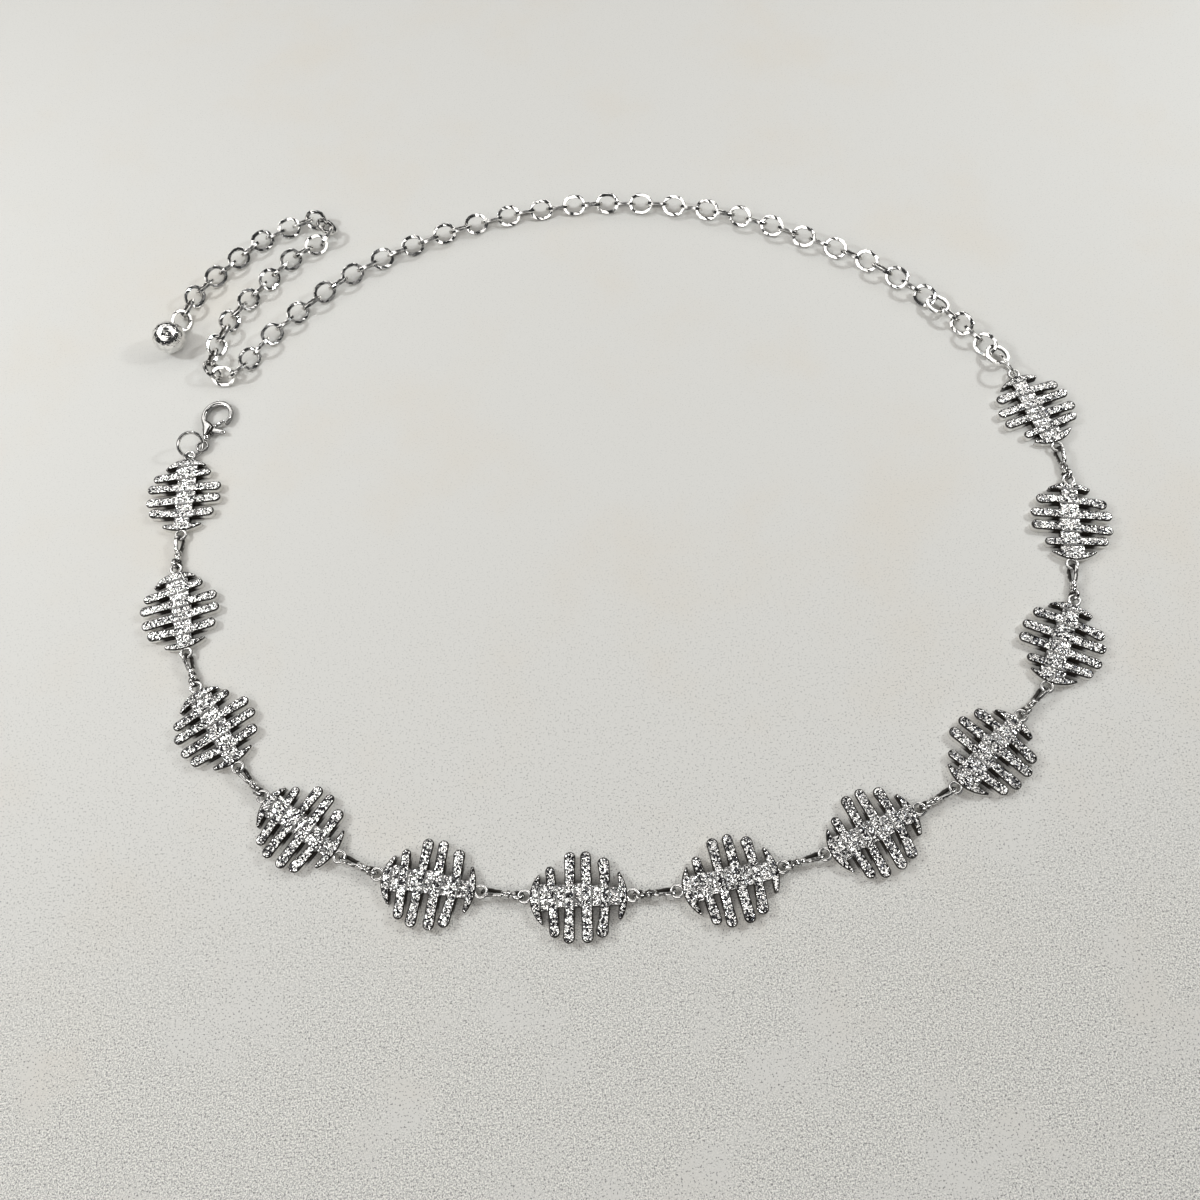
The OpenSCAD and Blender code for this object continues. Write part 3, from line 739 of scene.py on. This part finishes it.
def clasp_lever_parts():
    """Surfaces of the clasp's lever in its own plane: hub, gate and nub. The gate's half width
    sways along it by a cosine, and it is thin as far as it runs between the cheeks."""
    hook, half = hook_line()
    gate = hook[-1] + [0.3, half[-1] + 0.8] - PIVOT
    nub = np.array([0.2, NUB_SHORT - CLASP_WIDE / 2 - PIVOT[1]])
    share = np.array([0.1, 0.35, 0.6, 0.8, 1.0])[:, None]
    fine = np.linspace(0.1, 1.0, 19)
    sway = 0.72 + 0.16 * np.cos(5 * np.pi * (fine - 0.4))
    face = LEVER_THICK / 2
    nub_widths = [1.1, 1.2, 1.15, 1.05, 0.9]
    return [
        plain_bar(short_line(PIVOT, 0.05), HUB_R, face - 0.05, face, -face),
        wire(PIVOT + gate * fine[:, None], sway, np.where(fine < GATE_FREE, face, sway + 0.1)),
        wire(PIVOT + nub * share, nub_widths, NUB_HALF, square=2.2, dark=hook_dark),
    ]


def ball_parts():
    """Surfaces of the ball and of its eye, which hangs in the last link and slopes down to it."""
    heading = float(heading_of(JOINTS[-1] - JOINTS[-2]))
    out = BALL_D / 2 + BALL_EYE_R - BALL_EYE_WIRE / 4
    slope = math.asin((BALL_D / 2 - LINK_Z) / out)
    c, s = math.cos(slope), math.sin(slope)
    shift = BALL_EYE_R - BALL_EYE_WIRE / 2 + (LINK_PLAY + LINK_SLACK) / 2 - BALL_BACK
    centre = JOINTS[-1] + turned([shift + out * c, 0], heading)
    eye, faces, marks = wire(circle_path(BALL_EYE_R, 40), BALL_EYE_WIRE / 2, closed=True)
    rolled = placed(eye, -link_rolls(JOINTS)[-1], 0, (out, 0, 0))
    dipped = rolled @ np.array([[c, 0, -s], [0, 1, 0], [s, 0, c]])
    at = (*centre, BALL_D / 2)
    return [ball_surface(BALL_D / 2, at), moved((dipped, faces, marks), 0, heading + 180, at)]


# ---- Finishes ----


class Value:
    """One output of a node. Arithmetic on it adds Math nodes."""

    def __init__(self, finish, socket):
        self.finish = finish
        self.socket = socket

    def math(self, operation, first, second):
        """Math node of two numbers, of which one is this value."""
        return self.finish.node("ShaderNodeMath", {"operation": operation}, {0: first, 1: second})

    def __add__(self, other):
        return self.math("ADD", self, other)

    __radd__ = __add__

    def __sub__(self, other):
        return self.math("SUBTRACT", self, other)

    def __rsub__(self, other):
        return self.math("SUBTRACT", other, self)

    def __mul__(self, other):
        return self.math("MULTIPLY", self, other)

    __rmul__ = __mul__

    def between(self, low, high):
        """0 below low, 1 above high, and smooth between."""
        return self.finish.node("ShaderNodeMapRange", {"interpolation_type": "SMOOTHSTEP"},
                                {0: self, 1: low, 2: high, 3: 0.0, 4: 1.0})


class Finish:
    """A material in the making, on Object coordinates."""

    def __init__(self, name):
        self.material = bpy.data.materials.new(name)
        self.material.use_nodes = True
        self.tree = self.material.node_tree
        self.tree.nodes.clear()
        self.shader = self.tree.nodes.new("ShaderNodeBsdfPrincipled")
        output = self.tree.nodes.new("ShaderNodeOutputMaterial")
        self.tree.links.new(self.shader.outputs[0], output.inputs[0])
        self.place = self.node("ShaderNodeTexCoord", {}, {}, "Object")

    def node(self, kind, settings, inputs, out=0):
        """Adds a node with its settings and the values or links of its sockets."""
        node = self.tree.nodes.new(kind)
        for key, value in settings.items():
            setattr(node, key, value)
        for key, value in inputs.items():
            self.feed(node.inputs[key], value)
        return Value(self, node.outputs[out])

    def feed(self, socket, value):
        """Links a value to a socket, or sets the socket to a number or colour."""
        if isinstance(value, Value):
            self.tree.links.new(value.socket, socket)
        else:
            socket.default_value = value

    def set(self, **sockets):
        """Feeds the shader's sockets by name, with _ for a space."""
        for name, value in sockets.items():
            self.feed(self.shader.inputs[name.replace("_", " ")], value)

    def noise(self, size, detail=2.0, rough=0.5):
        """Noise whose blobs are about size metres across."""
        return self.node("ShaderNodeTexNoise", {}, {
            "Vector": self.place, "Scale": 1 / size, "Detail": detail, "Roughness": rough})

    def cells(self, size, out="Distance"):
        """Irregular cells about size metres across: distance from their middles, or colour."""
        return self.node("ShaderNodeTexVoronoi", {}, {"Vector": self.place, "Scale": 1 / size}, out)

    def part(self, axis, of=None):
        """The x, y or z of the place, or of another vector or colour."""
        return self.node("ShaderNodeSeparateXYZ", {}, {0: of or self.place}, axis)

    def mark(self, name):
        """A mark stored on the mesh's points."""
        return self.node("ShaderNodeAttribute", {"attribute_name": name}, {}, "Fac")

    def vector(self, operation, a, b=None, scale=None):
        """Vector Math of a and b, or of a and a scale."""
        inputs = {key: value for key, value in ((0, a), (1, b), (3, scale)) if value is not None}
        return self.node("ShaderNodeVectorMath", {"operation": operation}, inputs)

    def mix(self, factor, a, b):
        """Colour between a and b."""
        return self.node("ShaderNodeMix", {"data_type": "RGBA"}, {0: factor, 6: a, 7: b}, 2)

    def bump(self, height, distance, **normal):
        """Normal that a height in shares of distance gives, on a given Normal if there is one."""
        return self.node("ShaderNodeBump", {}, {
            "Strength": 1.0, "Distance": distance, "Height": height, **normal})


def cast_finish(sizes):
    """Silver with a sparkling grain where it is marked; its dark grains are painted dark
    reflections, more of them towards the front as painted shade, and painted shade with some
    tarnish goes where that is marked. Each cell of the grain tilts its own way."""
    f = Finish("Grained silver")
    grained = f.mark("grain")
    cell = f.cells(sizes.grain_size, "Color")
    tilt = f.vector("SUBTRACT", cell, (0.5, 0.5, 0.5))
    tilt = f.vector("SCALE", tilt, scale=grained * sizes.grain_tilt)
    plain = f.node("ShaderNodeNewGeometry", {}, {}, "Normal")
    facet = f.vector("NORMALIZE", f.vector("ADD", plain, tilt))
    # Dark grains are painted dark reflections, with more of them towards the front as painted shade
    light = sizes.grain_light - FRONT_DARKER * (1.0 - f.part("Y").between(*GRAIN_FRONT))
    dark = f.part("X", cell).between(light, light + 0.06) * grained
    shade_and_tarnish = f.mark("shade_and_tarnish").between(0.1, 0.9)
    shade = f.mix(dark, (*sizes.silver, 1.0), GRAIN_DARK_REFLECTION)
    lumps = f.cells(sizes.grain_size * 1.1) * grained
    f.set(Base_Color=f.mix(shade_and_tarnish, shade, DEEP_SHADE_AND_TARNISH), Metallic=1.0 - shade_and_tarnish,
          Roughness=0.10 + 0.07 * grained, Specular_IOR_Level=0.1,
          Normal=f.bump(lumps, sizes.grain_depth, Normal=facet))
    return f.material


def polished_finish(sizes, name, wave, rough, shine=1.0, painted_dark_patches=0.0):
    """Polished silver, darker as shine falls, which paints shade into its colour, with the faint
    waves of hand finishing, wave metres deep. Patches of painted dark reflection are nearly black,
    as deep as its last argument says, and painted shade goes where it is marked."""
    f = Finish(name)
    silver = [shine * c for c in sizes.silver]
    dull = [0.75 * c for c in silver]
    shade = f.mix(f.noise(2 * MM).between(0.4, 0.6), (*silver, 1.0), (*dull, 1.0))
    if painted_dark_patches:
        shade = f.mix(f.noise(1.1 * MM, 1.0).between(0.48, 0.56) * painted_dark_patches, shade, PAINTED_DARK)
    shade_and_tarnish = f.mark("shade_and_tarnish").between(0.1, 0.9)
    f.set(Base_Color=f.mix(shade_and_tarnish, shade, PAINTED_DARK), Metallic=1.0 - 0.9 * shade_and_tarnish,
          Specular_IOR_Level=0.1, Roughness=rough + 0.05 * f.noise(0.8 * MM),
          Normal=f.bump(f.noise(1.6 * MM, 2.0, 0.4), wave))
    return f.material


def floor_finish(sizes):
    """Pale stone-coloured floor: sparse dark specks, a dense fine grain towards the front and
    faint stains."""
    f = Finish("Pale floor")

    def tinted(*shares):
        return (*(share * c for share, c in zip(shares, sizes.floor)), 1.0)

    front = 1.0 - f.part("Y").between(-0.20, 0.02)
    near = (1.0 - f.part("Y").between(-0.19, -0.09)) * f.noise(30 * MM, 3.0).between(0.3, 0.5)
    stains = f.noise(70 * MM, 4.0, 0.6).between(0.45, 0.75)
    base = f.mix(stains * 0.8, tinted(1, 1, 1), tinted(1, 0.965, 0.92))
    grain = f.noise(0.45 * MM, 1.0).between(0.32, 0.68)
    base = f.mix(near * 0.9, base, f.mix(grain, tinted(0.58, 0.58, 0.59), tinted(1.32, 1.32, 1.30)))
    specks = f.noise(0.6 * MM, 1.0, 0.5).between(0.60, 0.68)
    shade = f.mix(specks * (0.15 + 0.85 * front), base, tinted(0.36, 0.36, 0.37))
    f.set(Base_Color=shade, Roughness=0.8, Specular_IOR_Level=0.2)
    return f.material


# ---- Settings ----


class WaistChainSettings(bpy.types.PropertyGroup):
    """Sizes, colours and lights that a user would change."""

    grain_size: FloatProperty(
        name="Grain size", description="Size of the grains on the medallions",
        default=0.0005, min=0.0002, max=0.003, unit="LENGTH", precision=5)
    grain_tilt: FloatProperty(
        name="Grain tilt", description="How far the grains tilt from the surface",
        default=0.85, min=0.0, max=4.0)
    grain_depth: FloatProperty(
        name="Grain depth", description="Depth of the lumps under the grains",
        default=0.0001, min=0.0, max=0.001, unit="LENGTH", precision=5)
    # Grains that are not bright are painted dark reflections
    grain_light: FloatProperty(
        name="Light grains", description="Share of the grains that are bright, away from the front",
        default=0.70, min=0.0, max=1.0, subtype="FACTOR")
    silver: FloatVectorProperty(
        name="Silver", description="Colour of the plating", subtype="COLOR", size=3,
        default=(0.93, 0.92, 0.90), min=0.0, max=1.0)
    floor: FloatVectorProperty(
        name="Floor", description="Colour of the floor", subtype="COLOR", size=3,
        default=(0.618, 0.606, 0.580), min=0.0, max=1.0)
    light: FloatProperty(
        name="Light", description="Glow of all the light panels",
        default=1.80, min=0.0, max=50.0)
    wire_sides: IntProperty(
        name="Wire sides", description="Cut sides round a chain link's wire",
        default=8, min=5, max=16)


# ---- Operators ----


class WAISTCHAIN_OT_medallions(bpy.types.Operator):
    """Casts the twelve medallions with their grained tops"""

    bl_idname = "waistchain.medallions"
    bl_label = "Medallions"

    def execute(self, context):
        finish = cast_finish(context.scene.waist_chain)
        parts = medallion_parts()
        for i, ((_, middle, _), heading) in enumerate(zip(BELT_ROWS, MEDALLION_HEADING), 1):
            lying = [moved(p, 0, heading, (*middle, 0)) for p in parts]
            nodes = [f"medallion_{i:02d}"]
            mesh_piece(f"Medallion.{i:02d}", lying, finish, nodes)
        return {"FINISHED"}


class WAISTCHAIN_OT_connectors(bpy.types.Operator):
    """Makes the eleven connectors between the medallions"""

    bl_idname = "waistchain.connectors"
    bl_label = "Connectors"

    def execute(self, context):
        # The connectors carry nearly black patches of painted dark reflection
        finish = polished_finish(
            context.scene.waist_chain, "Polished connector", wave=0.06 * MM, rough=0.05, painted_dark_patches=0.85)
        parts = connector_parts()
        for i, (heading, way) in enumerate(zip(CONNECTOR_HEADING, CONNECTOR_WAY), 1):
            start = BELT_ROWS[i - 1][2] if way > 0 else BELT_ROWS[i][0]
            turn = heading if way > 0 else heading + 180
            hung = [moved(p, 90 + way * CONNECTOR_LEAN, turn, (*start, RING_Z)) for p in parts]
            nodes = [f"connector_{i:02d}"]
            mesh_piece(f"Connector.{i:02d}", hung, finish, nodes)
        return {"FINISHED"}


class WAISTCHAIN_OT_jump_rings(bpy.types.Operator):
    """Bends the two jump rings at the belt's ends"""

    bl_idname = "waistchain.jump_rings"
    bl_label = "Jump rings"

    def execute(self, context):
        finish = polished_finish(
            context.scene.waist_chain, "Polished ring", wave=0.2 * MM, rough=0.05)
        path = circle_path(JUMP_R, 64, (0, JUMP_R))
        for name, node, base, heading, dark in (
            ("Clasp_ring", "clasp_jump_ring", CLASP_JUMP_BASE, CLASP_JUMP_HEADING, edges_dark),
            ("Chain_ring", "chain_jump_ring", CHAIN_JUMP_BASE, CHAIN_JUMP_HEADING, None),
        ):
            ring = wire(path, JUMP_WIRE / 2 + JUMP_SPARE, sides=20, closed=True, dark=dark)
            stood = moved(ring, 90 - JUMP_LEAN, heading, (*base, JUMP_WIRE / 2))
            mesh_piece(name, [stood], finish, [node])
        return {"FINISHED"}


class WAISTCHAIN_OT_cable_chain(bpy.types.Operator):
    """Links the cable chain along its route"""

    bl_idname = "waistchain.cable_chain"
    bl_label = "Cable chain"

    def execute(self, context):
        sizes = context.scene.waist_chain
        finish = polished_finish(sizes, "Cut silver wire", wave=0.02 * MM, rough=0.08)
        knock = np.random.default_rng(KNOCK_SEED)
        rolls = link_rolls(JOINTS)
        middles = (JOINTS[1:] + JOINTS[:-1]) / 2
        headings = heading_of(np.diff(JOINTS, axis=0))
        heights = np.maximum(LINK_R * np.cos(np.radians(rolls)) + LINK_WIRE / 2, LINK_Z)
        links = [moved(link_surface(sizes.wire_sides, knock), 90 + roll, heading, (*middle, height))
                 for roll, heading, middle, height in zip(rolls, headings, middles, heights)]
        for points, _, _ in links:
            points[:, 2] = np.maximum(points[:, 2], LEAST_Z)
        for name, node, part in (("Main_chain", "main_chain", links[:MAIN_COUNT]),
                                 ("Tail_chain", "tail_chain", links[MAIN_COUNT:])):
            mesh_piece(name, part, finish, [node], smooth=False)
        return {"FINISHED"}


class WAISTCHAIN_OT_clasp(bpy.types.Operator):
    """Forms the lobster clasp and its lever"""

    bl_idname = "waistchain.clasp"
    bl_label = "Clasp"

    def execute(self, context):
        # The clasp's silver is darker by its shine, as painted shade
        finish = polished_finish(
            context.scene.waist_chain, "Polished clasp", wave=0.05 * MM, rough=0.06, shine=0.70)
        at = (*CLASP_AT, CLASP_THICK / 2)
        for name, node, parts, rider in (
            ("Clasp_body", "clasp_body", clasp_body_parts(), BELT),
            ("Clasp_lever", "clasp_lever", clasp_lever_parts(), LEVER),
        ):
            lying = [moved(p, 0, CLASP_HEADING, at) for p in parts]
            mesh_piece(name, lying, finish, [node], rider)
        return {"FINISHED"}


class WAISTCHAIN_OT_ball(bpy.types.Operator):
    """Turns the ball at the chain's free end, with its eye"""

    bl_idname = "waistchain.ball"
    bl_label = "Ball"

    def execute(self, context):
        finish = polished_finish(
            context.scene.waist_chain, "Mirror ball", wave=0.36 * MM, rough=0.08)
        mesh_piece("End_ball", ball_parts(), finish, ["end_ball"])
        return {"FINISHED"}


class WAISTCHAIN_OT_stage(bpy.types.Operator):
    """Lays the floor and sets the lights and the camera"""

    bl_idname = "waistchain.stage"
    bl_label = "Stage"

    def execute(self, context):
        sizes = context.scene.waist_chain
        scene = context.scene
        mesh = bpy.data.meshes.new("Floor")
        half = FLOOR_HALF
        corners = [(-half, -half, 0), (half, -half, 0), (half, half, 0), (-half, half, 0)]
        mesh.from_pydata(corners, [], [(0, 1, 2, 3)])
        floor = bpy.data.objects.new("Floor", mesh)
        scene.collection.objects.link(floor)
        mesh.materials.append(floor_finish(sizes))
        for rows, tint in ((PANELS, PANEL_TINT), (LAMPS, LAMP_TINT)):
            for name, at, size, share in rows:
                softbox(scene, name, at, size, sizes.light * share, tint)
        world = bpy.data.worlds.new("Studio")
        scene.world = world
        world.use_nodes = True
        background = world.node_tree.nodes["Background"]
        background.inputs[0].default_value = WORLD_TINT
        background.inputs[1].default_value = WORLD_GLOW
        camera = bpy.data.objects.new("Camera", bpy.data.cameras.new("Camera"))
        scene.collection.objects.link(camera)
        axes = Matrix((CAMERA_RIGHT, CAMERA_UP, CAMERA_BACK)).transposed()
        camera.matrix_world = Matrix.Translation(Vector(CAMERA_AT)) @ axes.to_4x4()
        camera.data.sensor_width = SENSOR
        camera.data.lens = PHOTO_FOCUS / PHOTO_SIZE * SENSOR
        camera.data.clip_start = CLIP_START
        scene.camera = camera
        scene.view_settings.view_transform = "Standard"
        return {"FINISHED"}


def softbox(scene, name, at, size, glow, tint):
    """Area light of the given glow and tint at a place, turned to face the origin."""
    data = bpy.data.lights.new(name, "AREA")
    data.shape = "RECTANGLE"
    data.size, data.size_y = size
    data.energy = math.pi * size[0] * size[1] * glow
    data.color = tint
    light = bpy.data.objects.new(name, data)
    scene.collection.objects.link(light)
    light.location = at
    light.rotation_euler = (-Vector(at)).to_track_quat("-Z", "Y").to_euler()


class WAISTCHAIN_PT_panel(bpy.types.Panel):
    """Lists the pieces and their settings"""

    bl_idname = "WAISTCHAIN_PT_panel"
    bl_label = "Waist chain"
    bl_space_type = "VIEW_3D"
    bl_region_type = "UI"
    bl_category = "Waist chain"

    def draw(self, context):
        for name in WaistChainSettings.__annotations__:
            self.layout.prop(context.scene.waist_chain, name)
        for maker in MAKERS:
            self.layout.operator(maker.bl_idname)


MAKERS = (
    WAISTCHAIN_OT_medallions, WAISTCHAIN_OT_connectors, WAISTCHAIN_OT_jump_rings,
    WAISTCHAIN_OT_cable_chain, WAISTCHAIN_OT_clasp, WAISTCHAIN_OT_ball, WAISTCHAIN_OT_stage,
)
CLASSES = (WaistChainSettings, *MAKERS, WAISTCHAIN_PT_panel)


def register():
    """Registers the classes and hangs the settings on the scene."""
    for item in CLASSES:
        bpy.utils.register_class(item)
    bpy.types.Scene.waist_chain = PointerProperty(type=WaistChainSettings)


def unregister():
    """Takes the settings and the classes away again."""
    del bpy.types.Scene.waist_chain
    for item in reversed(CLASSES):
        bpy.utils.unregister_class(item)


def main():
    """Makes every piece in order."""
    register()
    for maker in MAKERS:
        group, call = maker.bl_idname.split(".")
        getattr(getattr(bpy.ops, group), call)()
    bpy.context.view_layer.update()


if __name__ == "__main__":
    main()
